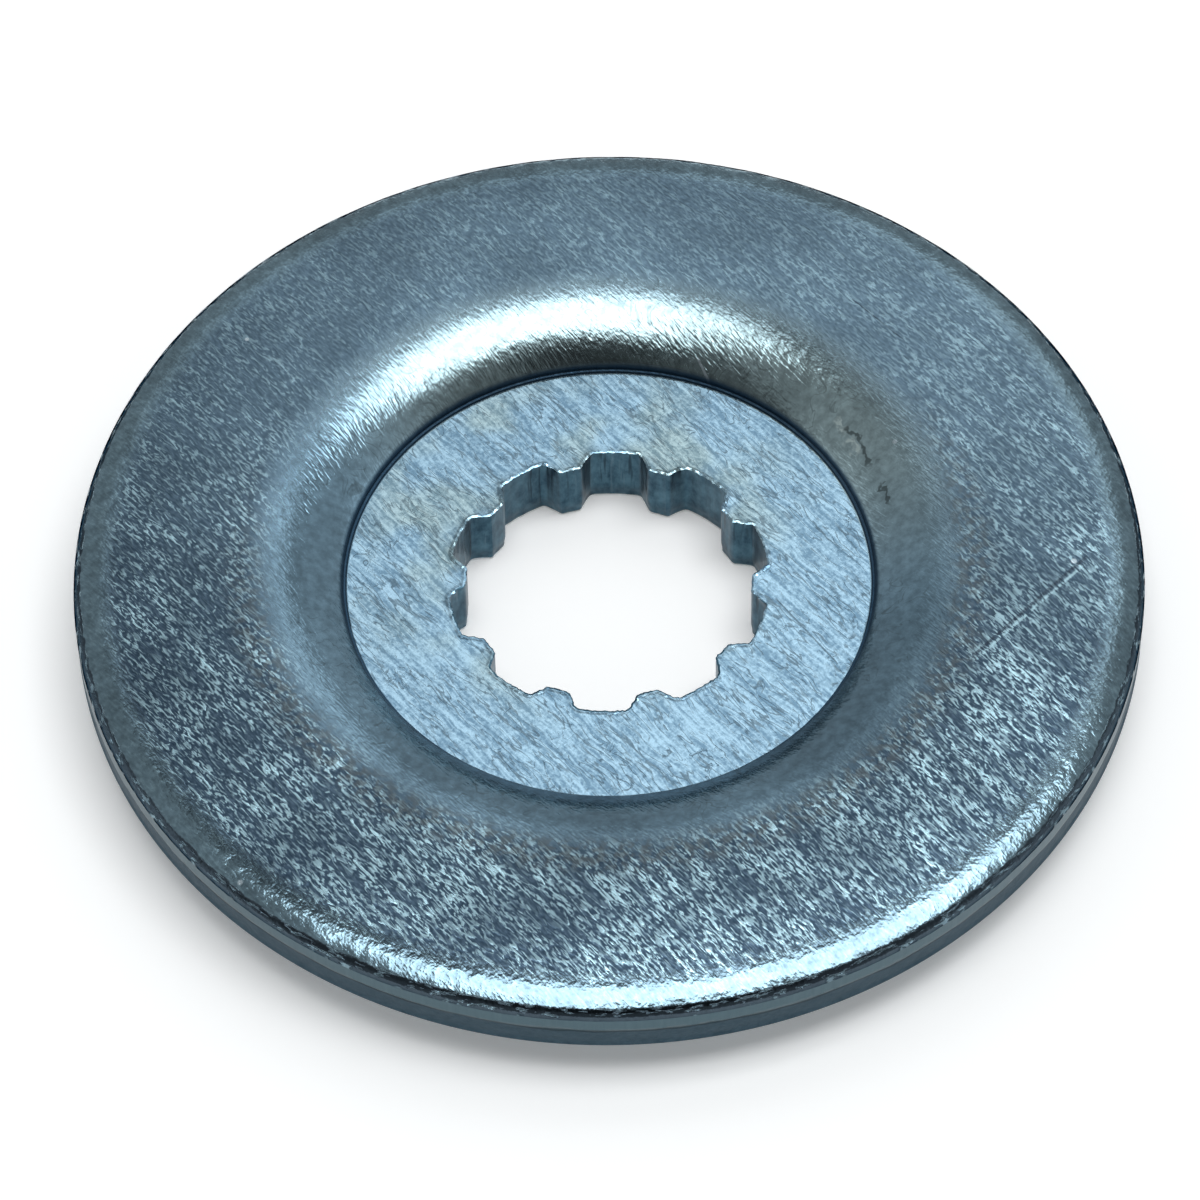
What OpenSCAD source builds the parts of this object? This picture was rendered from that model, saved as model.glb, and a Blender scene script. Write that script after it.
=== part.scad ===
// Splined dished washer, pressed from one piece of steel plate and zinc plated.
// The flat seat in the middle is pushed down below the outer ring, so its
// underside stands out as a low boss. The rim's upper edge is rolled over by
// the blanking press, and the hole is punched with straight-flanked splines.
// Millimetres. +Z is the axis, Z = 0 is the boss's underside.

/* [Plate] */
// Outside diameter of the rim
outer_d = 52; // [50:0.5:56]
// Thickness of the plate
sheet_t = 3.5; // [3:0.1:3.8]

/* [Dish] */
// Diameter of the flat seat at the bottom of the dish
seat_d = 25.6; // [24.6:0.2:26.2]
// Height of the sharp step that the press leaves around the seat
seat_step = 0.25; // [0.1:0.05:0.4]
// Width of the straight flank above the step
flank_run = 0.6; // [0.4:0.1:0.8]
// Radius of the shoulder between the flank and the outer ring
shoulder_r = 7.5; // [7:0.1:8]
// Radius of the boss's lower edge
boss_r = 2; // [1.4:0.1:2.4]

/* [Rim] */
// Radius of the gentle part of the rolled upper edge
roll_r = 4.4; // [3.6:0.1:5.2]
// Radius of the tight part of the rolled upper edge
edge_r = 0.8; // [0.4:0.1:1]
// Bevel at the foot of the side wall
foot_bevel = 0.15; // [0.05:0.05:0.3]

/* [Spline] */
// Number of spline grooves in the hole
spline_n = 10; // [8:1:12]
// Diameter across the bottoms of the grooves
major_d = 15.6; // [15.2:0.1:16.2]
// Diameter across the tips of the teeth
minor_d = 13.9; // [13.4:0.1:14.2]
// Width of a tooth at its tip
tip_w = 1.05; // [0.9:0.05:1.3]
// Width of a tooth at the bottom of the grooves
root_w = 2.4; // [1.8:0.05:2.5]
// Corner radius at the tips and roots of the teeth
tooth_r = 0.3; // [0.1:0.02:0.34]
// Turn of the first groove from the +Y axis, in degrees
spline_turn = 0; // [-18:1:18]

/* [Hidden] */
$fn = 180;

// The flanks of the dish and the end of the gentle roll slope 3 down in 4 along,
// so a radius r turned through that slope runs 0.6 r and drops 0.2 r.
run_k = 0.6;
drop_k = 0.2;
fall = 0.75;
slope_deg = atan(fall);

rim_r = outer_d / 2;
seat_r = seat_d / 2;
seat_z = sheet_t;                                      // upper face of the seat
dish_depth = seat_step + fall * flank_run + drop_k * shoulder_r;
ring_z = seat_z + dish_depth;                          // upper face of the outer ring
rim_z = ring_z - sheet_t;                              // lower face of the outer ring
core_r = 3;                                            // the section starts inside the hole
low = -1;                                              // below everything
high = ring_z + 2;                                     // above everything

// Dish: step, straight flank, shoulder arc.
arc_x = seat_r + flank_run;
arc_z = seat_z + seat_step + fall * flank_run;
shoulder_x = arc_x + run_k * shoulder_r;
shoulder_z = ring_z - shoulder_r;                      // centre of the arc

// Underside: the same arc one plate thickness in, a straight flank, a round edge.
under_r = shoulder_r - sheet_t;
under_x = shoulder_x - run_k * under_r;
under_z = shoulder_z + (1 - drop_k) * under_r;
boss_x = under_x - under_z / fall - boss_r * tan(slope_deg / 2);

// Rim: gentle roll, tight roll up to the mirror slope, side wall.
roll_x = rim_r - run_k * roll_r - drop_k * edge_r;
edge_x = rim_r - drop_k * edge_r;
edge_z = ring_z - drop_k * roll_r;
edge_c = [edge_x - run_k * edge_r, edge_z - (1 - drop_k) * edge_r];

module strip(x0, x1, z0, z1) {
    polygon([[x0, z0], [x1, z0], [x1, z1], [x0, z1]]);
}

module disc_at(x, z, r) {
    translate([x, z]) circle(r = r);
}

// Points on a round about a centre, from angle a0 to a1, without the last ones.
function round_off(c, r, a0, a1, n = 4, skip = 0) =
    [for (i = [0:n - skip]) let (a = a0 + (a1 - a0) * i / n) c + r * [cos(a), sin(a)]];

// Everything below the upper surface.
module under_top() {
    polygon([
        [core_r, low], [arc_x, low], [arc_x, arc_z],
        [seat_r, seat_z + seat_step], [seat_r, seat_z], [core_r, seat_z]
    ]);
    intersection() {
        disc_at(shoulder_x, shoulder_z, shoulder_r);
        strip(arc_x, shoulder_x, low, high);
    }
    strip(shoulder_x, roll_x, low, ring_z);
    intersection() {
        disc_at(roll_x, ring_z - roll_r, roll_r);
        strip(roll_x, edge_x, low, high);
    }
    intersection() {
        disc_at(edge_c[0], edge_c[1], edge_r);
        strip(edge_x, rim_r, edge_c[1], high);
    }
    strip(edge_x, rim_r, low, edge_c[1]);
}

// Everything above the lower surface.
module above_bottom() {
    polygon(concat(
        [[under_x, under_z], [under_x, high], [core_r, high], [core_r, 0]],
        round_off([boss_x, boss_r], boss_r, -90, slope_deg - 90, 6)
    ));
    difference() {
        strip(under_x, shoulder_x, shoulder_z, high);
        disc_at(shoulder_x, shoulder_z, under_r);
    }
    polygon([
        [shoulder_x, rim_z], [rim_r - foot_bevel, rim_z], [rim_r, rim_z + foot_bevel],
        [rim_r, high], [shoulder_x, high]
    ]);
}

module section() {
    intersection() {
        under_top();
        above_bottom();
    }
}

// Upper half of a tooth that points along -X: flat tip, rounded tip corner,
// straight flank, and a fillet that runs out through the bottom of the groove.
tip = [minor_d / 2, tip_w / 2];
root = [sqrt(pow(major_d / 2, 2) - pow(root_w / 2, 2)), root_w / 2];
side_deg = atan2(root[1] - tip[1], root[0] - tip[0]);
side_v = [cos(side_deg), sin(side_deg)];
side_n = [-sin(side_deg), cos(side_deg)];
tip_len = tooth_r * tan((90 - side_deg) / 2);
root_turn = 90 + asin(root_w / major_d) - side_deg;
root_len = tooth_r * tan(root_turn / 2);
fillet = round_off(
    root - root_len * side_v + tooth_r * side_n, tooth_r,
    side_deg - 90, side_deg - 90 + root_turn, 4, 1
);
out_deg = side_deg + root_turn * 0.7;
half_tooth = concat(
    round_off(tip + [tooth_r, -tip_len], tooth_r, 180, 90 + side_deg),
    fillet,
    [fillet[3] + 0.3 * [cos(out_deg), sin(out_deg)], [major_d / 2 + 0.6, root_w / 2]]
);

module tooth() {
    polygon(concat(
        half_tooth,
        [for (i = [len(half_tooth) - 1:-1:0]) [half_tooth[i][0], -half_tooth[i][1]]]
    ));
}

module spline_hole() {
    difference() {
        circle(d = major_d);
        for (i = [0:spline_n - 1])
            rotate(90 + spline_turn + (i + 0.5) * 360 / spline_n) tooth();
    }
}

module washer() {
    color([0.56, 0.63, 0.68])
    difference() {
        rotate_extrude() section();
        translate([0, 0, low]) linear_extrude(height = high - low) spline_hole();
    }
}

washer();
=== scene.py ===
import math
import bpy
from mathutils import Vector, Matrix, noise


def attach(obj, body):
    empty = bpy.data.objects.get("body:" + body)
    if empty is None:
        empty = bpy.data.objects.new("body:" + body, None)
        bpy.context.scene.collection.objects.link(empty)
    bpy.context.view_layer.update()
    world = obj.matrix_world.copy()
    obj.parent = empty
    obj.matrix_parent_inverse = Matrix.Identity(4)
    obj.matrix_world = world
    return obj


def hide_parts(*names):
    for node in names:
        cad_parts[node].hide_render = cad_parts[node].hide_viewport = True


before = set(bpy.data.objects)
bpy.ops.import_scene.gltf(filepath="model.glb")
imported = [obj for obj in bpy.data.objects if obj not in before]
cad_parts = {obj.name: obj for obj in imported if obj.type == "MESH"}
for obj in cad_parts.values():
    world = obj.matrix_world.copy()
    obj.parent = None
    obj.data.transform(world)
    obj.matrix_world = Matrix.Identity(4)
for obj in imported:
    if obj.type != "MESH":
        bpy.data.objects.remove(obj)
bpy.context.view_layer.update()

MM = 0.001

# ---------------------------------------------------------------- sizes, mm
RIM_R, SHEET, SEAT_R, STEP = 26.0, 3.5, 12.8, 0.25
FLANK_RUN, SHOULDER_R = 0.6, 7.5
DEPTH = STEP + 0.75 * FLANK_RUN + 0.2 * SHOULDER_R
SEAT_Z, RING_Z = SHEET, SHEET + DEPTH
RIM_Z = RING_Z - SHEET
MAJOR_R, MINOR_R, TIP_W, ROOT_W, TOOTH_R, TEETH = 7.8, 6.95, 1.05, 2.4, 0.3, 10
SLOPE = math.atan(0.75)
AZ = 3.2                                  # camera and lights are turned by this about +Z, degrees


def wob(x, y, z=0.0, seed=0.0):
    """Smooth noise about zero, -1 to 1."""
    return noise.noise(Vector((x + 17.3 * seed, y - 9.1 * seed, z + 3.7 * seed)))


def ss(a, b, x):
    t = min(max((x - a) / (b - a), 0.0), 1.0)
    return t * t * (3 - 2 * t)


# ---------------------------------------------------------------- spline outline
def tooth_half():
    """Polar points (angle from the tooth's middle, radius) from tip to groove."""
    pts = []
    tip = Vector((MINOR_R, TIP_W / 2))
    root = Vector((math.sqrt(MAJOR_R**2 - (ROOT_W / 2) ** 2), ROOT_W / 2))
    a = math.atan2(root.y - tip.y, root.x - tip.x)
    v, n = Vector((math.cos(a), math.sin(a))), Vector((-math.sin(a), math.cos(a)))
    tl = TOOTH_R * math.tan((math.pi / 2 - a) / 2)
    for i in range(5):
        pts.append(Vector((MINOR_R, (TIP_W / 2 - tl) * i / 5)))
    c = tip + Vector((TOOTH_R, -tl))
    for i in range(9):
        t = math.pi + (a - math.pi / 2) * i / 8
        pts.append(c + TOOTH_R * Vector((math.cos(t), math.sin(t))))
    turn = math.pi / 2 + math.asin(ROOT_W / 2 / MAJOR_R) - a
    rl = TOOTH_R * math.tan(turn / 2)
    c = root - rl * v + TOOTH_R * n
    for i in range(9):
        t = a - math.pi / 2 + turn * i / 8
        pts.append(c + TOOTH_R * Vector((math.cos(t), math.sin(t))))
    out = [(math.atan2(p.y, p.x), min(p.length, MAJOR_R)) for p in pts]
    half = math.pi / TEETH
    last = out[-1][0]
    for i in range(1, 11):
        out.append((last + (half - last) * i / 10, MAJOR_R))
    return out


HALF = tooth_half()


def outline(theta):
    """Radius of the splined hole at an angle from +X, in radians."""
    pitch = 2 * math.pi / TEETH
    a = (theta - math.pi / 2 - pitch / 2) % pitch
    a = min(a, pitch - a)
    for (a0, r0), (a1, r1) in zip(HALF, HALF[1:]):
        if a <= a1 + 1e-12:
            return r0 + (r1 - r0) * (a - a0) / max(a1 - a0, 1e-9)
    return MAJOR_R


def angles(per_pitch=60):
    """Angles around the washer, closer together on the spline flanks."""
    pitch = 2 * math.pi / TEETH
    fine = 1440
    acc, last = [0.0], None
    for i in range(fine):
        t0, t1 = pitch * i / fine, pitch * (i + 1) / fine
        dr = abs(outline(math.pi / 2 + t1) - outline(math.pi / 2 + t0))
        acc.append(acc[-1] + MAJOR_R * (t1 - t0) + 1.3 * dr)
    total, got, k = acc[-1], [], 0
    for j in range(per_pitch):
        want = total * j / per_pitch
        while acc[k + 1] < want:
            k += 1
        f = (want - acc[k]) / (acc[k + 1] - acc[k])
        got.append(pitch * (k + f) / fine)
    return [math.pi / 2 + p * pitch + t for p in range(TEETH) for t in got]


THETA = angles()
NT = len(THETA)

# ---------------------------------------------------------------- section
# Each ring: (island, radius mm, height mm, kind). "top" runs outwards, then the
# wall, then the underside inwards, then the hole's wall upwards.
arc_x = SEAT_R + FLANK_RUN
sh_x = arc_x + 0.6 * SHOULDER_R
sh_c = RING_Z - SHOULDER_R
ROLL_X, ROLL_MID, ROLL_END = 18.2, 24.5, 25.62      # where the ring starts to fall, quickens and turns tight
A0, A1, A2 = math.radians(8.3), math.radians(25.0), math.radians(72)
EDGE_R = (RIM_R - ROLL_END) / (math.sin(A2) - math.sin(A1))


def roll_slope(r):
    if r < ROLL_MID:
        return A0 * (r - ROLL_X) / (ROLL_MID - ROLL_X)
    return A0 + (A1 - A0) * (r - ROLL_MID) / (ROLL_END - ROLL_MID)


roll_pts, zr = [(ROLL_X, RING_Z)], RING_Z
for i in range(1, 41):
    r0, r1 = (ROLL_X + (ROLL_END - ROLL_X) * (1 - (1 - k / 40) ** 1.6) for k in (i - 1, i))
    zr -= (r1 - r0) * math.tan(roll_slope((r0 + r1) / 2))
    if i % 2 == 0:
        roll_pts.append((r1, zr))
edge_c = (ROLL_END - EDGE_R * math.sin(A1), zr - EDGE_R * math.cos(A1))
wall_z = edge_c[1] + EDGE_R * math.cos(A2)

top = [(r, SEAT_Z) for r in (8.9, 9.7, 10.6, 11.5, 12.2, 12.55, 12.72)]
top += [(SEAT_R - 0.03, SEAT_Z), (SEAT_R + 0.005, SEAT_Z + 0.025), (SEAT_R + 0.015, SEAT_Z + 0.10)]
top += [(SEAT_R + 0.04, SEAT_Z + 0.125), (SEAT_R + 0.12, SEAT_Z + 0.135), (SEAT_R + 0.145, SEAT_Z + 0.16)]
top += [(SEAT_R + 0.155, SEAT_Z + 0.30), (SEAT_R + 0.185, SEAT_Z + 0.36)]
top += [(SEAT_R + f * FLANK_RUN, SEAT_Z + STEP + 0.75 * f * FLANK_RUN) for f in (0.5, 0.75)]
for i in range(17):
    a = SLOPE * (1 - i / 16)
    top.append((sh_x - SHOULDER_R * math.sin(a), sh_c + SHOULDER_R * math.cos(a)))
top += roll_pts
for i in range(1, 6):
    a = A1 + (A2 - A1) * i / 5
    top.append((edge_c[0] + EDGE_R * math.sin(a), edge_c[1] + EDGE_R * math.cos(a)))
wall_f = (0.04, 0.12, 0.22, 0.32, 0.40, 0.45, 0.50, 0.60, 0.72, 0.84, 0.93)
wall = [(RIM_R, wall_z + (RIM_Z + 0.15 - wall_z) * f) for f in wall_f]
under_r = SHOULDER_R - SHEET
under = [(RIM_R - 0.02, RIM_Z + 0.13), (RIM_R - 0.07, RIM_Z + 0.05), (RIM_R - 0.16, RIM_Z)]
under += [(RIM_R - 0.16 + (sh_x - RIM_R + 0.16) * f, RIM_Z) for f in (0.08, 0.2, 0.4, 0.6, 0.8)]
for i in range(9):
    a = SLOPE * i / 8
    under.append((sh_x - under_r * math.sin(a), sh_c + under_r * math.cos(a)))
BOSS_R = 2.0
ux, uz = under[-1]
boss_x = ux - uz / 0.75 - BOSS_R * math.tan(SLOPE / 2)
for i in range(7):
    a = SLOPE * (1 - i / 6)
    under.append((boss_x + BOSS_R * math.sin(a), BOSS_R - BOSS_R * math.cos(a)))
under += [(r, 0.0) for r in (12.0, 10.6, 9.4, 8.9)]

rings = []          # functions of (j, theta) giving (radius, height, island)
lip_h = []          # burr height at the hole's upper edge
lip_r = []
for t in THETA:
    x, y = math.cos(t) * 40, math.sin(t) * 40
    rear = ss(-0.5, 0.35, math.sin(t))
    h = 0.020 + 0.045 * abs(wob(x * 0.45, y * 0.45, 1.0)) + 0.09 * max(0.0, wob(x * 1.2, y * 1.2, 5.0))
    lip_h.append(h * (0.50 + 0.50 * rear))
    lip_r.append(0.045 * wob(x * 0.7, y * 0.7, 9.0) + 0.055 * wob(x * 1.5, y * 1.5, 2.0) * (1.2 - 0.2 * rear))
HOLE = [outline(t) for t in THETA]


def drag(t, z):
    """Drawn lines down the hole's wall, mm."""
    x, y = math.cos(t) * 60, math.sin(t) * 60
    return 0.020 * wob(x * 0.9, y * 0.9, z * 0.05, 3.0) + 0.012 * wob(x * 2.0, y * 2.0, z * 0.1, 4.0)


def rim_normals():
    """Unit vectors that point from the hole's outline into the plate."""
    pts = [Vector((r * math.cos(t), r * math.sin(t))) for r, t in zip(HOLE, THETA)]
    out = []
    for j in range(NT):
        d = pts[(j + 2) % NT] - pts[j - 2]
        n = Vector((d.y, -d.x)).normalized()
        out.append((n if n.dot(pts[j]) > 0 else -n).to_tuple())
    return out


NORMAL = rim_normals()


def near_hole(off, z, island, lip=0.0, lip_in=0.0):
    """Ring that follows the hole's outline at a distance, mm."""
    def ring(j, t):
        n, e = NORMAL[j], off + lip_r[j] * lip_in
        x, y = HOLE[j] * math.cos(t) + n[0] * e, HOLE[j] * math.sin(t) + n[1] * e
        return (x, y, z + lip * lip_h[j], island)
    return ring


def between(f, z, island):
    """Ring part of the way from the outline to the plain rings."""
    def ring(j, t):
        n = NORMAL[j]
        x, y = HOLE[j] * math.cos(t) + n[0] * 0.26, HOLE[j] * math.sin(t) + n[1] * 0.26
        return (x + (8.9 * math.cos(t) - x) * f, y + (8.9 * math.sin(t) - y) * f, z, island)
    return ring


def plain(r, z, island):
    return lambda j, t: (r, z, island)


def step_ring(r, z):
    def ring(j, t):
        x, y = math.cos(t) * 12.8, math.sin(t) * 12.8
        d = 0.012 * wob(x * 1.6, y * 1.6, 4.0) + 0.02 * max(0.0, wob(x * 0.9, y * 0.9, 8.0) - 0.35)
        return (r + d, z, "top")
    return ring


def edge_ring(r, z):
    """Tight outer edge, a little uneven."""
    def ring(j, t):
        x, y = math.cos(t) * 26, math.sin(t) * 26
        d = (0.02 * wob(x * 0.30, y * 0.30, 11.0) + 0.03 * wob(x * 0.9, y * 0.9, 12.0)) * (1 - 0.6 * ss(-0.6, 0.2, math.sin(t)))
        f = ss(25.2, 25.6, r)
        return (min(r + 0.5 * d * f, RIM_R - 0.012), z + d * f, "top")
    return ring


def wall_ring(r, z, f):
    def ring(j, t):
        x, y = math.cos(t) * 26, math.sin(t) * 26
        line = 0.43 + 0.05 * wob(x * 0.22, y * 0.22, 1.0) + 0.03 * wob(x * 0.9, y * 0.9, 2.0)
        torn = ss(line - 0.03, line + 0.06, f)
        d = -0.012 - torn * (0.07 + 0.025 * wob(x * 1.1, y * 1.1, z * 1.6, 6.0) + 0.02 * wob(x * 2.6, y * 2.6, z * 3.0, 7.0))
        d += 0.010 * (1 - torn) * wob(x * 1.8, y * 1.8, z * 0.1, 8.0)
        return (r + min(d, 0.0), z, "wall")
    return ring


def hole_ring(f):
    def ring(j, t):
        z = (SEAT_Z + 0.10 * lip_h[j]) * f
        x, y = math.cos(t) * 40, math.sin(t) * 40
        torn = ss(0.22, 0.06, f) * (0.06 + 0.04 * wob(x * 0.5, y * 0.5, 7.0))
        n, e = NORMAL[j], drag(t, z) * ss(0.0, 0.12, f) + torn + lip_r[j] * ss(0.9, 1.0, f)
        return (HOLE[j] * math.cos(t) + n[0] * e, HOLE[j] * math.sin(t) + n[1] * e, z, "hole")
    return ring


# upper face, outwards from the hole's edge
rings.append(near_hole(0.0, SEAT_Z, "top", 0.10, 1.0))
rings.append(near_hole(0.05, SEAT_Z, "top", 0.60, 1.0))
rings.append(near_hole(0.10, SEAT_Z, "top", 1.00, 0.9))
rings.append(near_hole(0.16, SEAT_Z, "top", 0.70, 0.7))
rings.append(near_hole(0.22, SEAT_Z, "top", 0.15, 0.3))
rings.append(near_hole(0.28, SEAT_Z, "top"))
rings.append(between(0.45, SEAT_Z, "top"))
for r, z in top:
    rings.append(step_ring(r, z) if 12.74 < r < 13.0 else edge_ring(r, z) if r > 25.2 else plain(r, z, "top"))
for (r, z), f in zip(wall, wall_f):
    rings.append(wall_ring(r, z, f))
for r, z in under:
    rings.append(plain(r, z, "under"))
rings.append(between(0.45, 0.0, "under"))
rings.append(near_hole(0.22, 0.0, "under"))
rings.append(near_hole(0.09, 0.03, "under"))
for f in (0.03, 0.08, 0.14, 0.2, 0.28, 0.38, 0.5, 0.62, 0.74, 0.84, 0.92, 0.97):
    rings.append(hole_ring(f))

NR = len(rings)
verts, island = [], []
for ring in rings:
    for j, t in enumerate(THETA):
        *p, isl = ring(j, t)
        x, y, z = p if len(p) == 3 else (p[0] * math.cos(t), p[0] * math.sin(t), p[1])
        verts.append((x * MM, y * MM, z * MM))
    island.append(isl)
faces, zone = [], []
for i in range(NR):
    k = (i + 1) % NR
    mid_r = math.hypot(*verts[k * NT][:2]) / MM
    lo_r, hi_r = sorted((math.hypot(*verts[i * NT][:2]) / MM, mid_r))
    rolled_kind = 1 if hi_r < 15.0 and island[i] == "top" else 4 if lo_r < 19.2 else 5 if hi_r < 23.5 else 6
    if island[i] == "top":
        kind = 0 if mid_r < SEAT_R + 0.03 else rolled_kind
    else:
        kind = {"wall": 2, "under": rolled_kind, "hole": 3}[island[i]]
    for j, t in enumerate(THETA):
        m = (j + 1) % NT
        faces.append((i * NT + j, k * NT + j, k * NT + m, i * NT + m))
        # Painted shade: the first faces at the hole's upper edge take the hole wall's dark skin in notches, mostly
        # on the front.
        notch_shade = wob(math.cos(t) * 16, math.sin(t) * 16, 6.0) - 0.9 * math.sin(t)
        # Painted light and shade: the step's lowest edge takes the dish's darker skin, except on the front, where it
        # keeps the seat's light colour as a bright rim.
        skin = 1 if kind == 0 and mid_r > SEAT_R - 0.03 and math.sin(t) > -0.25 else kind
        zone.append(3 if (i == 0 and notch_shade > 0.15) or (i == 1 and notch_shade > 0.75) else skin)
me = bpy.data.meshes.new("washer_plate")
me.from_pydata(verts, [], faces)
me.polygons.foreach_set("material_index", zone)
me.update()
plate = bpy.data.objects.new("washer_plate", me)
bpy.context.collection.objects.link(plate)
me.shade_smooth()
me.set_sharp_from_angle(angle=math.radians(23))


# ---------------------------------------------------------------- node helpers
class Net:
    def __init__(self, tree):
        self.t = tree
        self.n = tree.nodes
        self.l = tree.links

    def put(self, sock, v):
        if isinstance(v, bpy.types.NodeSocket):
            self.l.new(v, sock)
        elif v is not None:
            sock.default_value = v

    def m(self, op, a, b=None, c=None, clamp=False):
        n = self.n.new("ShaderNodeMath")
        n.operation, n.use_clamp = op, clamp
        for s, v in zip(n.inputs, (a, b, c)):
            self.put(s, v)
        return n.outputs[0]

    def add(self, a, b): return self.m("ADD", a, b)
    def sub(self, a, b): return self.m("SUBTRACT", a, b)
    def mul(self, a, b): return self.m("MULTIPLY", a, b)

    def step(self, x, a, b, lo=0.0, hi=1.0):
        n = self.n.new("ShaderNodeMapRange")
        n.interpolation_type = "SMOOTHSTEP"
        self.put(n.inputs["Value"], x)
        for k, v in (("From Min", a), ("From Max", b), ("To Min", lo), ("To Max", hi)):
            self.put(n.inputs[k], v)
        return n.outputs["Result"]

    def lin(self, x, a, b, lo=0.0, hi=1.0):
        n = self.n.new("ShaderNodeMapRange")
        n.interpolation_type = "LINEAR"
        self.put(n.inputs["Value"], x)
        for k, v in (("From Min", a), ("From Max", b), ("To Min", lo), ("To Max", hi)):
            self.put(n.inputs[k], v)
        return n.outputs["Result"]

    def band(self, x, a0, a1, b0, b1):
        """1 between a1 and b0, soft outside."""
        return self.mul(self.step(x, a0, a1), self.step(x, b0, b1, 1.0, 0.0))

    def vec(self, x, y, z):
        n = self.n.new("ShaderNodeCombineXYZ")
        for s, v in zip(n.inputs, (x, y, z)):
            self.put(s, v)
        return n.outputs[0]

    def xyz(self, v):
        n = self.n.new("ShaderNodeSeparateXYZ")
        self.put(n.inputs[0], v)
        return n.outputs

    def vm(self, op, a, b=None, out=0):
        n = self.n.new("ShaderNodeVectorMath")
        n.operation = op
        self.put(n.inputs[0], a)
        if b is not None:
            self.put(n.inputs["Scale"] if op == "SCALE" else n.inputs[1], b)
        return n.outputs[out]

    def noise(self, v, scale=1.0, detail=2.0, rough=0.5, dist=0.0, dims="3D"):
        n = self.n.new("ShaderNodeTexNoise")
        n.noise_dimensions = dims
        self.put(n.inputs["Vector"], v)
        for k, x in (("Scale", scale), ("Detail", detail), ("Roughness", rough), ("Distortion", dist)):
            self.put(n.inputs[k], x)
        return n.outputs["Fac"]

    def mix(self, f, a, b):
        n = self.n.new("ShaderNodeMix")
        n.data_type = "RGBA"
        self.put(n.inputs[0], f)
        self.put(n.inputs[6], a)
        self.put(n.inputs[7], b)
        return n.outputs[2]

    def mixf(self, f, a, b):
        n = self.n.new("ShaderNodeMix")
        n.data_type = "FLOAT"
        self.put(n.inputs[0], f)
        self.put(n.inputs[2], a)
        self.put(n.inputs[3], b)
        return n.outputs[0]

    def tint(self, col, f):
        """Colour times a number."""
        n = self.n.new("ShaderNodeVectorMath")
        n.operation = "SCALE"
        self.put(n.inputs[0], col)
        self.put(n.inputs["Scale"], f)
        return n.outputs[0]


def rgb(r, g, b):
    return (r, g, b, 1.0)


# ---------------------------------------------------------------- zinc on steel
class Zinc(Net):
    """Metal shader with object coordinates in mm; u runs along the sheet's rolling direction, v across it."""

    def __init__(self, name):
        self.mat = bpy.data.materials.new(name)
        self.mat.use_nodes = True
        super().__init__(self.mat.node_tree)
        self.n.clear()
        out = self.n.new("ShaderNodeOutputMaterial")
        self.b = self.n.new("ShaderNodeBsdfPrincipled")
        self.l.new(self.b.outputs[0], out.inputs[0])
        self.b.inputs["Metallic"].default_value = 1.0
        tc = self.n.new("ShaderNodeTexCoord")
        self.P = self.vm("SCALE", tc.outputs["Object"], 1000.0)
        self.x, self.y, self.z = self.xyz(self.P)
        self.rad = self.m("SQRT", self.add(self.mul(self.x, self.x), self.mul(self.y, self.y)))
        a = math.radians(-47)
        self.u = self.add(self.mul(self.x, math.cos(a)), self.mul(self.y, math.sin(a)))
        self.v = self.sub(self.mul(self.y, math.cos(a)), self.mul(self.x, math.sin(a)))

    def streak(self, su, sv, seed, detail=2.0, rough=0.55, dist=0.0, v=None):
        """Noise drawn out along the rolling direction, su and sv cells a mm."""
        c = self.vec(self.m("MULTIPLY_ADD", self.u, su, 31.7 * seed), self.m("MULTIPLY_ADD", self.v if v is None else v, sv, 17.3 * seed), 0.0)
        return self.noise(c, 1.0, detail, rough, dist, "2D")

    def patch(self, scale, seed, detail=1.0, rough=0.5, dist=0.0):
        """Even noise over the plan, scale cells a mm."""
        return self.noise(self.vec(self.m("ADD", self.x, 41.3 * seed), self.m("ADD", self.y, 23.9 * seed), 0.0), scale, detail, rough, dist, "2D")

    def toward(self, deg):
        """Cosine of the angle from a direction about the axis."""
        a = math.radians(deg)
        return self.m("DIVIDE", self.add(self.mul(self.x, math.cos(a)), self.mul(self.y, math.sin(a))), self.m("MAXIMUM", self.rad, 0.1))

    def scratch(self, x0, y0, x1, y1, half):
        """1 on a straight scratch between two points, mm."""
        d = Vector((x1 - x0, y1 - y0))
        ln = d.length
        d.normalize()
        px, py = self.sub(self.x, x0), self.sub(self.y, y0)
        along = self.add(self.mul(px, d.x), self.mul(py, d.y))
        across = self.m("ABSOLUTE", self.sub(self.mul(py, d.x), self.mul(px, d.y)))
        return self.mul(self.step(across, half * 0.4, half, 1.0, 0.0), self.band(along, 0.0, 0.3, ln - 0.5, ln))

    def spot(self, x0, y0, r):
        """1 at a small round glint, mm."""
        px, py = self.sub(self.x, x0), self.sub(self.y, y0)
        return self.step(self.add(self.mul(px, px), self.mul(py, py)), 0.2 * r * r, r * r, 1.0, 0.0)

    def done(self, col, rgh, h):
        self.put(self.b.inputs["Base Color"], self.tint(col, 0.77))
        self.put(self.b.inputs["Roughness"], rgh)
        bump = self.n.new("ShaderNodeBump")
        bump.inputs["Strength"].default_value = 1.0
        bump.inputs["Distance"].default_value = 0.001
        self.put(bump.inputs["Height"], h)
        self.l.new(bump.outputs[0], self.b.inputs["Normal"])
        return self.mat


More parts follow.
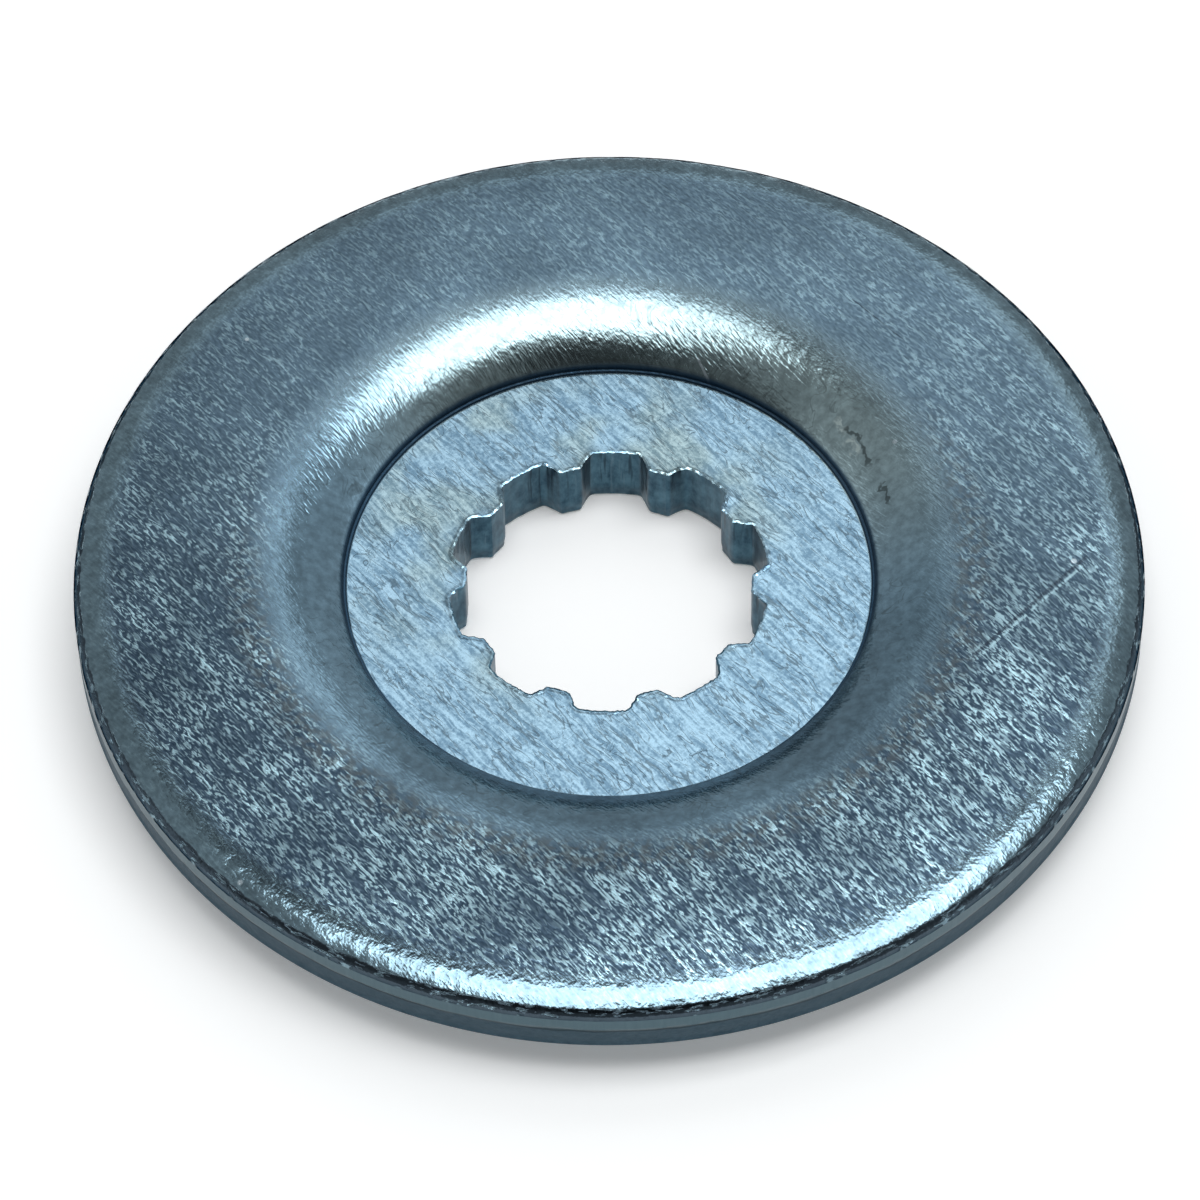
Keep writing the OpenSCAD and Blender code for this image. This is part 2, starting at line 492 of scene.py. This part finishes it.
def seat():
    """Coined seat: faintly brushed along the rolling direction, grainy, with short dark lines."""
    g = Zinc("zinc_seat")
    vb = g.add(g.v, g.mul(g.sub(g.patch(0.45, 1.0), 0.5), 0.4))
    soft = g.streak(0.20, 2.9, 1.0, 1.5, 0.6, v=vb)
    fine = g.streak(0.95, 6.5, 5.0, 1.5, 0.6, v=vb)
    grain = g.patch(4.2, 8.0, 2.0, 0.7)
    where = g.patch(0.30, 2.0)
    many = g.streak(0.25, 0.9, 3.0, 1.0)
    thin = g.step(g.m("ABSOLUTE", g.sub(g.streak(0.60, 3.0, 9.0, 1.5, 0.6, v=vb), 0.5)), 0.010, 0.055, 1.0, 0.0)
    thin = g.mul(thin, g.lin(g.add(many, g.mul(g.sub(fine, 0.5), 0.7)), 0.37, 0.58))
    curl = g.step(g.m("ABSOLUTE", g.sub(g.patch(1.2, 3.0, 1.5, 0.5, 0.6), 0.5)), 0.004, 0.018, 1.0, 0.0)
    curl = g.mul(curl, g.step(g.patch(0.5, 4.0), 0.55, 0.64))
    cut = g.scratch(8.05, -0.75, 11.3, -4.75, 0.055)
    dark = g.m("MAXIMUM", thin, g.m("MAXIMUM", curl, cut))
    tone = g.lin(g.add(g.mul(soft, 0.35), g.add(g.mul(fine, 0.33), g.mul(grain, 0.32))), 0.41, 0.59)
    # Here a greenish stain in patches, near the hole and toward 123 degrees.
    stain_and_side_light = g.mul(g.step(where, 0.40, 0.68), g.step(g.add(g.mul(g.sub(10.0, g.rad), 0.25), g.toward(123)), -0.7, 0.9))
    col = g.mix(tone, rgb(0.215, 0.368, 0.500), rgb(0.52, 0.775, 0.95))
    col = g.mix(g.mul(stain_and_side_light, 0.75), col, g.mix(tone, rgb(0.26, 0.375, 0.40), rgb(0.58, 0.74, 0.73)))
    col = g.mix(g.mul(dark, 0.62), col, rgb(0.10, 0.15, 0.19))
    rgh = g.mixf(dark, 0.21, 0.38)
    h = g.add(g.mul(fine, 0.0035), g.add(g.mul(soft, 0.005), g.mul(grain, 0.003)))
    h = g.sub(h, g.mul(dark, 0.0025))
    return g.done(col, rgh, h)


def rolled(part):
    """Rolled sheet skin of one zone: rows of thin crinkled lines on the ring, coloured bright as painted glints and
    strongest on the front, stretched smoother in the dish and over the rim; the dish, the seat's step and the outer
    edge also carry painted light and shade.
    """
    g = Zinc("zinc_" + part)
    inner, sloped, outer = part == "dish", part == "shoulder", part == "rim"
    dish = 1.0 if inner else g.step(g.rad, 15.0, 18.0, 1.0, 0.0) if sloped else 0.0
    roll = g.step(g.rad, 23.5, 24.7) if outer else 0.0
    n1 = g.streak(1.60, 7.2, 0.0, 1.0, 0.5, 0.5)
    n2 = g.streak(2.80, 7.6, 7.0, 1.0, 0.5)
    mott = g.patch(1.9, 21.0, 2.5, 0.65)
    cloud = g.patch(0.16, 6.0, 3.0, 0.6)
    col, rgh = None, 0.17
    if not inner:
        brk = g.streak(0.24, 2.0, 13.0, 1.5, 0.6)
        # Painted glints: the crinkled lines of the rolled sheet are coloured bright as if catching the light, with
        # fewer of them on the left side.
        few = g.step(g.toward(173), 0.2, 0.95, 0.0, 0.035)
        hair = g.mul(g.step(g.sub(n1, few), 0.535, 0.640), g.lin(brk, 0.36, 0.60, 0.12, 1.0))
        fuzz = g.mul(g.step(g.sub(n2, few), 0.54, 0.65), g.lin(brk, 0.40, 0.64))
        line = g.step(g.m("ABSOLUTE", g.sub(g.streak(0.42, 2.3, 31.0, 1.5, 0.55), 0.5)), 0.008, 0.030, 1.0, 0.0)
        line = g.mul(line, g.step(n2, 0.42, 0.60))
        fleck_glint = g.mul(g.m("MAXIMUM", g.mul(line, 0.85), g.m("MAXIMUM", hair, g.mul(fuzz, 0.75))), g.lin(cloud, 0.36, 0.60, 0.68, 1.12))
        # Painted light and shade by side: toward the front the base is darker and the glinting lines brighter,
        # toward the back both fade.
        k = g.step(g.toward(-92), -0.95, 0.50, 0.22, 1.0)
        if sloped:
            k = g.mul(k, g.sub(1.0, g.mul(dish, 0.95)))
        if outer:
            k = g.mul(k, g.step(g.rad, 23.7, 24.9, 1.0, 0.32))
        dark = g.mix(g.lin(n2, 0.3, 0.7), rgb(0.048, 0.082, 0.122), rgb(0.098, 0.152, 0.212))
        base = g.mix(k, g.mix(g.lin(n2, 0.3, 0.7), rgb(0.160, 0.250, 0.325), rgb(0.225, 0.345, 0.440)), dark)
        col = g.mix(g.mul(fleck_glint, g.add(0.12, g.mul(k, 0.88))), base, rgb(0.62, 0.90, 1.0))
        rgh = g.mixf(fleck_glint, 0.34, 0.26)
    if inner or sloped:
        rear = g.step(g.toward(78), 0.05, 0.80)
        col = g.mix(dish, col, g.mix(rear, rgb(0.27, 0.425, 0.535), rgb(0.353, 0.466, 0.485)))
        rgh = g.mixf(dish, rgh, 0.17)
    if outer:
        col = g.mix(g.mul(g.step(g.rad, 23.8, 25.0), 0.7), col, g.mix(n2, rgb(0.215, 0.322, 0.377), rgb(0.325, 0.465, 0.524)))
    if sloped:
        # A mottled darker band at the dish's border, on the front and the sides only.
        band = g.band(g.rad, 16.2, 17.2, 17.8, 19.2)
        border_mottle = g.mul(g.mul(band, g.step(mott, 0.40, 0.62)), g.step(g.toward(-77), -0.6, 0.2))
        col = g.mix(g.mul(border_mottle, 0.65), col, rgb(0.135, 0.160, 0.170))
    if inner or sloped:
        # Painted light and shade by side: the dish is made lighter toward 21 degrees and on the left next to the
        # seat, and darker toward -17 and 57 degrees.
        stain_and_side_light = g.sub(g.mul(g.step(g.toward(21), 0.84, 0.98), 0.34), g.mul(g.step(g.toward(-17), 0.6, 1.0), 0.16))
        stain_and_side_light = g.sub(stain_and_side_light, g.mul(g.step(g.toward(57), 0.84, 0.97), 0.16))
        left = g.mul(g.step(g.rad, 14.4, 15.6, 0.24, 0.0), g.step(g.toward(181), 0.5, 0.95))
        col = g.tint(col, g.add(1.0, g.mul(dish, g.add(stain_and_side_light, left))))
        curl = g.step(g.m("ABSOLUTE", g.sub(g.patch(0.9, 43.0, 1.5, 0.5, 0.6), 0.5)), 0.004, 0.016, 1.0, 0.0)
        curl = g.mul(g.mul(curl, dish), g.step(cloud, 0.44, 0.56))
        col = g.mix(g.mul(curl, 0.40), col, rgb(0.07, 0.095, 0.10))
    col = g.tint(col, g.lin(cloud, 0.3, 0.7, 0.86, 1.12))
    if part != "ring":
        col = g.tint(col, g.add(1.0, g.mul(roll if outer else dish, g.lin(mott, 0.3, 0.7, -0.20, 0.20))))
    upper = 1.0 if inner else g.step(g.z, 3.0, 4.0)
    if part == "ring" or sloped:
        dent = g.m("MAXIMUM", g.scratch(17.6, -5.65, 23.3, 0.92, 0.11), g.scratch(11.43, 16.25, 14.24, 13.51, 0.05))
        # Painted highlight: a bright line beside the dent, on its raised burr, where that would catch the light.
        burr = g.mul(g.scratch(17.9, -5.65, 23.2, 0.46, 0.10), g.step(n2, 0.40, 0.52))
        col = g.mix(g.mul(g.mul(burr, upper), 0.6), col, rgb(0.62, 0.90, 1.0))
        col = g.mix(g.mul(g.mul(dent, upper), g.step(n2, 0.36, 0.60, 0.85, 0.45)), col, rgb(0.045, 0.06, 0.085))
    if inner:
        glint = g.scratch(3.83, 13.27, 4.64, 11.9, 0.08)
    elif sloped:
        glint = g.spot(13.76, 7.5, 0.15)
    elif outer:
        glint = g.spot(-16.5, -19.25, 0.16)
    else:
        glint = g.m("MAXIMUM", g.spot(-18.5, 12.8, 0.14), g.spot(22.51, 0.40, 0.18))
    col = g.mix(g.mul(g.mul(glint, upper), 0.8), col, rgb(0.75, 0.88, 0.95))
    amp = g.sub(1.0, g.mul(roll, 0.75)) if outer else g.sub(1.0, g.mul(dish, 0.42))
    h = g.mul(g.add(g.mul(n1, 0.023), g.mul(n2, 0.013)), amp)
    if part != "ring":
        h = g.add(h, g.mul(mott, g.mul(roll, 0.030) if outer else g.mul(dish, 0.014)))
    if inner:
        plain_x, plain_y = g.x, g.y
        g.x = g.add(g.x, g.mul(g.sub(g.patch(1.3, 41.0, 2.0, 0.6), 0.5), 1.1))
        g.y = g.add(g.y, g.mul(g.sub(mott, 0.5), 0.9))
        flake = g.m("MAXIMUM", g.scratch(10.7, 9.3, 11.45, 8.35, 0.22), g.scratch(11.3, 8.25, 12.15, 7.15, 0.26))
        col = g.mix(g.mul(flake, g.step(n2, 0.36, 0.56, 0.35, 0.95)), col, rgb(0.72, 0.87, 0.86))
        crack = g.m("MAXIMUM", g.scratch(11.2, 8.75, 12.3, 7.75, 0.13), g.scratch(11.95, 8.1, 12.8, 6.3, 0.10))
        crack = g.m("MAXIMUM", crack, g.scratch(13.1, 5.5, 13.75, 3.9, 0.09))
        g.x, g.y = plain_x, plain_y
        col = g.mix(g.mul(crack, 0.72), col, rgb(0.07, 0.095, 0.10))
        # Painted shade: a dark navy line along the seat's step and the corner at its foot, all round.
        step_shade = g.band(g.rad, 12.74, 12.80, 12.98, 13.20)
        col = g.mix(g.mul(step_shade, 0.92), col, rgb(0.016, 0.048, 0.092))
        rgh = g.mixf(step_shade, 0.17, 0.36)
    if outer:
        # Painted shade: the tight outer edge is coloured near black and its reflection tinted dark, standing in for
        # the dark band the edge reflects; chips break it up.
        edge = g.step(g.add(g.rad, g.mul(g.patch(1.5, 17.0, 2.5, 0.65), 0.26)), 25.74, 25.80)
        chip = g.step(g.noise(g.vec(g.mul(g.m("ARCTAN2", g.y, g.x), 30.0), g.mul(g.rad, 7.0), 3.0), 1.0, 2.0, 0.6), 0.54, 0.64)
        chip = g.mul(chip, edge)
        edge = g.sub(edge, g.mul(chip, 0.75))
        col = g.mix(g.mul(edge, 0.88), col, rgb(0.056, 0.074, 0.096))
        g.put(g.b.inputs["Specular Tint"], g.mix(edge, rgb(1.0, 1.0, 1.0), rgb(0.12, 0.14, 0.16)))
        h = g.sub(h, g.mul(chip, 0.075))
        rgh = g.mixf(roll, rgh, 0.15)
    return g.done(col, rgh, h)


def blanked():
    """Side wall: burnished above, torn below."""
    g = Zinc("zinc_blanked")
    th = g.m("ARCTAN2", g.y, g.x)
    wline = g.add(3.48, g.mul(g.sub(g.noise(g.P, 0.35, 2.0), 0.5), 0.5))
    torn = g.step(g.z, g.sub(wline, 0.10), g.add(wline, 0.06), 1.0, 0.0)
    seam = g.band(g.sub(g.z, wline), -0.16, -0.05, 0.02, 0.14)
    drawn = g.noise(g.vec(g.mul(th, 90.0), g.mul(g.z, 0.25), 0.0), 1.0, 3.0, 0.6)
    grain = g.noise(g.P, 3.0, 3.0, 0.6)
    col = g.mix(torn, g.mix(drawn, rgb(0.072, 0.130, 0.160), rgb(0.122, 0.196, 0.230)), g.mix(grain, rgb(0.04, 0.076, 0.104), rgb(0.095, 0.150, 0.190)))
    col = g.tint(col, g.sub(1.0, g.mul(seam, 0.5)))
    rgh = g.mixf(torn, 0.34, 0.55)
    h = g.mixf(torn, g.mul(drawn, 0.006), g.mul(grain, 0.03))
    return g.done(col, rgh, h)


def punched():
    """Wall of the splined hole: drawn smooth, with a few lines down it."""
    g = Zinc("zinc_punched")
    th = g.m("ARCTAN2", g.y, g.x)
    drawn = g.noise(g.vec(g.mul(th, 14.0), g.mul(g.z, 0.12), 5.0), 1.0, 3.0, 0.65)
    line = g.step(drawn, 0.60, 0.68)
    cloud = g.noise(g.P, 0.6, 2.0)
    blot = g.noise(g.vec(g.mul(g.x, 1.9), g.mul(g.y, 1.9), g.mul(g.z, 1.2)), 1.0, 3.0, 0.65)
    tone = g.lin(g.add(g.mul(cloud, 0.35), g.mul(blot, 0.65)), 0.36, 0.64)
    col = g.mix(tone, rgb(0.022, 0.066, 0.104), rgb(0.092, 0.196, 0.262))
    col = g.mix(g.mul(line, 0.4), col, rgb(0.16, 0.26, 0.32))
    col = g.mix(g.mul(g.step(drawn, 0.33, 0.42, 1.0, 0.0), 0.75), col, rgb(0.014, 0.034, 0.052))
    return g.done(col, g.mixf(line, 0.34, 0.26), g.mul(drawn, 0.012))


for zone_mat in (seat(), rolled("dish"), blanked(), punched(), rolled("shoulder"), rolled("ring"), rolled("rim")):
    me.materials.append(zone_mat)
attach(plate, "root")
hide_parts("washer")

# ---------------------------------------------------------------- floor
fm = bpy.data.meshes.new("floor")
S = 1.5
Z = -0.02 * MM                            # a hair under the foot, so the two faces do not coincide
fm.from_pydata([(-S, -S, Z), (S, -S, Z), (S, S, Z), (-S, S, Z)], [], [(0, 1, 2, 3)])
floor = bpy.data.objects.new("floor", fm)
bpy.context.collection.objects.link(floor)
pale = bpy.data.materials.new("pale_floor")
pale.use_nodes = True
fb = pale.node_tree.nodes["Principled BSDF"]
fb.inputs["Base Color"].default_value = rgb(0.985, 0.965, 0.945)
fb.inputs["Roughness"].default_value = 0.9
fb.inputs["Specular IOR Level"].default_value = 0.0
fb.inputs["Emission Color"].default_value = rgb(1.0, 1.0, 1.0)
fb.inputs["Emission Strength"].default_value = 0.17
fm.materials.append(pale)

# ---------------------------------------------------------------- light
world = bpy.data.worlds.new("studio")
bpy.context.scene.world = world
world.use_nodes = True
w = Net(world.node_tree)
w.n.clear()
wo = w.n.new("ShaderNodeOutputWorld")
bg = w.n.new("ShaderNodeBackground")
w.l.new(bg.outputs[0], wo.inputs[0])
wtc = w.n.new("ShaderNodeTexCoord")


def turned(deg_z):
    """Direction looked along, turned about the vertical, as x, y, z."""
    n = w.n.new("ShaderNodeMapping")
    w.put(n.inputs["Vector"], wtc.outputs["Generated"])
    n.inputs["Rotation"].default_value = (0, 0, math.radians(-deg_z))
    return w.xyz(n.outputs[0])


def ramp(x, stops, channels):
    """Up to three curves of one number in 0..1, each a function of the stop."""
    n = w.n.new("ShaderNodeValToRGB")
    e = n.color_ramp.elements
    lo, hi = stops[0], stops[-1]
    while len(e) < len(stops):
        e.new(0.5)
    for el_, v in zip(e, stops):
        el_.position = (v - lo) / (hi - lo)
    for el_, v in zip(e, stops):
        el_.color = tuple(f(v) for f in channels) + (1.0,) * (4 - len(channels))
    w.put(n.inputs[0], w.lin(x, lo, hi))
    sep = w.n.new("ShaderNodeSeparateColor")
    w.put(sep.inputs[0], n.outputs[0])
    return sep.outputs


def ease(v, a, b, lo, hi):
    return lo + (hi - lo) * ss(a, b, v)


def bar(x, a, b, soft):
    """1 between a and b, soft outside."""
    return w.step(w.m("ABSOLUTE", w.sub(x, (a + b) / 2)), (b - a) / 2 - soft, (b - a) / 2 + soft, 1.0, 0.0)


# overhead panel, a rectangle turned about the vertical
ox, oy, oz = turned(AZ + 14)
oz = w.m("MAXIMUM", oz, 0.02)
overhead = w.mul(bar(w.m("DIVIDE", ox, oz), -0.31, 0.62, 0.05), bar(w.m("DIVIDE", oy, oz), -0.31, 0.245, 0.05))

# far panel and room, by how high the direction points: 0 at the far horizon, 180 at the near one
dx, dy, dz = turned(AZ)
rise = w.m("ARCTAN2", dz, dy)
RISE = (0, 20, 30, 34, 38, 42, 46, 50, 52, 53, 54, 55, 56, 57, 58, 60, 62, 64, 68, 72, 76, 80, 104, 108, 113, 137, 141, 145, 150, 172, 178, 180)


def far(v):
    return ease(v, 29, 34, 0, 1) * ease(v, 58.5, 63, 1, 0) * (ease(v, 52.6, 56.2, 0.43, 1.34) + ease(v, 34, 48, 0.16, 0.0)) / 1.6


def around(v):
    return ease(v, 104, 113, 0.33, 0.035) + ease(v, 137, 150, 0.0, 0.17) + ease(v, 172, 178, 0.0, 0.60)


def between_panels(v):
    return ease(v, 57, 63, 0, 1) * ease(v, 72, 80, 1, 0)


f_far, f_room, f_gap = ramp(w.mul(rise, 180 / math.pi), RISE, (far, around, between_panels))
g_far, g_gap, g_near = ramp(dx, (-1, -0.42, -0.36, -0.32, -0.28, -0.25, -0.2, -0.15, -0.1, -0.05, 0, 0.05, 0.12, 0.22, 0.3, 0.34, 0.38, 0.42, 0.46, 1), (
    lambda v: ease(v, -0.36, -0.28, 0, 1) * ease(v, 0.36, 0.44, 1, 0) * ease(v, -0.25, 0.12, 0.36, 1.0),
    lambda v: ease(abs(v), 0.24, 0.46, 0.74, 0),
    lambda v: ease(v, -0.42, -0.10, 0.35, 0) + ease(v, 0.22, 0.46, 0, 0.5)))
room = w.mul(w.add(f_room, w.mul(g_near, w.m("MAXIMUM", w.sub(0.33, f_room), 0.0))), w.sub(1.0, w.mul(f_gap, g_gap)))
room = w.add(room, w.step(w.m("ABSOLUTE", dx), 0.80, 0.94, 0.0, 0.35))
level = w.add(w.mul(room, 1.3), w.add(w.mul(overhead, 4.1), w.mul(w.mul(f_far, g_far), 1.6 * 1.3 * 1.05)))
w.put(bg.inputs["Color"], rgb(0.93, 0.97, 1.0))
w.put(bg.inputs["Strength"], level)

# ---------------------------------------------------------------- camera
# Distances in rim radii about the middle of the rim's underside.
d, f_over_d, el, roll_a, tx, ty = 12.0, 532.19, math.radians(53.811), math.radians(1.082), 0.01738, 0.00819
az = math.radians(AZ)
back_v = Vector((0, -math.cos(el), math.sin(el)))
right_v = Vector((1, 0, 0))
up_v = Vector((0, math.sin(el), math.cos(el)))
c, s = math.cos(roll_a), math.sin(roll_a)
rr, ur = right_v * c - up_v * s, right_v * s + up_v * c
turn = Matrix.Rotation(az, 3, "Z")
rr, ur, bv = turn @ rr, turn @ ur, turn @ back_v
R = RIM_R * MM
loc = Vector((0, 0, RIM_Z * MM)) + bv * d * R - (rr * tx + ur * ty) * R
cam_data = bpy.data.cameras.new("camera")
cam_data.sensor_fit = "HORIZONTAL"
cam_data.sensor_width = 36.0
cam_data.lens = f_over_d * d / 1200 * 36.0
cam_data.clip_start, cam_data.clip_end = 0.01, 20
cam = bpy.data.objects.new("camera", cam_data)
rot = Matrix((rr, ur, bv)).transposed().to_4x4()
rot.translation = loc
cam.matrix_world = rot
bpy.context.collection.objects.link(cam)
bpy.context.scene.camera = cam

bpy.context.scene.view_settings.view_transform = "Standard"
